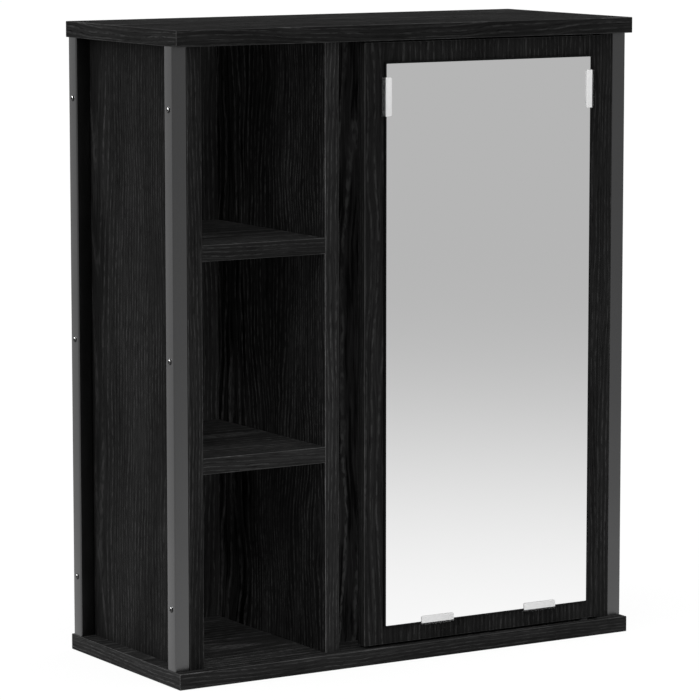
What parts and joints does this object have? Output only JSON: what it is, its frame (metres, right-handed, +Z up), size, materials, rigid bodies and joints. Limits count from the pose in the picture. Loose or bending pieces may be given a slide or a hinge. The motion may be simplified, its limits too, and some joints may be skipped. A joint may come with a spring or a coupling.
{
  "type": "medicine cabinet with mirror",
  "caption": "Bathroom wall cabinet in black oak boards: open shelves beside an inset door that carries a mirror in clear clips, with square metal corner posts.",
  "frame": {"origin": "middle of the underside of the bottom panel", "axes": "+Z up, +Y towards the wall, so the door and the open shelves face -Y, and +X towards the door's hinge side"},
  "size_m": [0.5, 0.213, 0.6],
  "materials": {
    "black_oak": "satin embossed oak grain, stained black",
    "back_board": "matt black laminate on thin board",
    "post_paint": "fine satin powder coat, anthracite",
    "dark_screw": "black zinc, semi-gloss",
    "mirror": "silvered flat glass",
    "clear_plastic": "clear moulded plastic",
    "zinc_steel": "bright zinc plate",
    "nylon": "black moulded nylon",
    "magnet": "dull ferrite"
  },
  "bodies": {
    "carcass": {"top_panel": "black_oak", "bottom_panel": "black_oak", "left_side_panel": "black_oak", "right_side_panel": "black_oak", "divider_panel": "black_oak", "back_panel": "back_board", "filler_strip": "black_oak", "lower_open_shelf": "black_oak", "upper_open_shelf": "black_oak", "lower_inner_shelf": "black_oak", "upper_inner_shelf": "black_oak", "front_left_post": "post_paint", "rear_left_post": "post_paint", "front_right_post": "post_paint", "rear_right_post": "post_paint", "front_left_post_screw_1": "dark_screw", "front_left_post_screw_2": "dark_screw", "front_left_post_screw_3": "dark_screw", "rear_left_post_screw_1": "dark_screw", "rear_left_post_screw_2": "dark_screw", "rear_left_post_screw_3": "dark_screw", "front_right_post_screw_1": "dark_screw", "front_right_post_screw_2": "dark_screw", "front_right_post_screw_3": "dark_screw", "rear_right_post_screw_1": "dark_screw", "rear_right_post_screw_2": "dark_screw", "rear_right_post_screw_3": "dark_screw", "upper_pivot_plate": "dark_screw", "lower_pivot_plate": "dark_screw", "lower_pivot_washer": "nylon", "upper_pivot_screw_1": "dark_screw", "upper_pivot_screw_2": "dark_screw", "lower_pivot_screw_1": "dark_screw", "lower_pivot_screw_2": "dark_screw", "catch_housing": "nylon", "catch_magnet": "magnet", "catch_screw_1": "zinc_steel", "catch_screw_2": "zinc_steel", "left_hanging_bracket": "dark_screw", "right_hanging_bracket": "dark_screw", "left_bracket_screw_1": "dark_screw", "left_bracket_screw_2": "dark_screw", "right_bracket_screw_1": "dark_screw", "right_bracket_screw_2": "dark_screw"},
    "door": {"door_panel": "black_oak", "mirror_glass": "mirror", "left_mirror_clip": "clear_plastic", "right_mirror_clip": "clear_plastic", "bottom_left_mirror_clip": "clear_plastic", "bottom_right_mirror_clip": "clear_plastic", "left_clip_screw": "zinc_steel", "right_clip_screw": "zinc_steel", "bottom_left_clip_screw": "zinc_steel", "bottom_right_clip_screw": "zinc_steel", "upper_pivot_bush": "nylon", "lower_pivot_bush": "nylon", "strike_plate": "zinc_steel", "strike_screw": "zinc_steel"}
  },
  "joints": [
    {"name": "door_hinge", "type": "hinge", "parent": "carcass", "child": "door", "pos_m": [0.205, -0.096, 0.3], "axis": [0, 0, 1], "range_deg": [0, 110]}
  ]
}
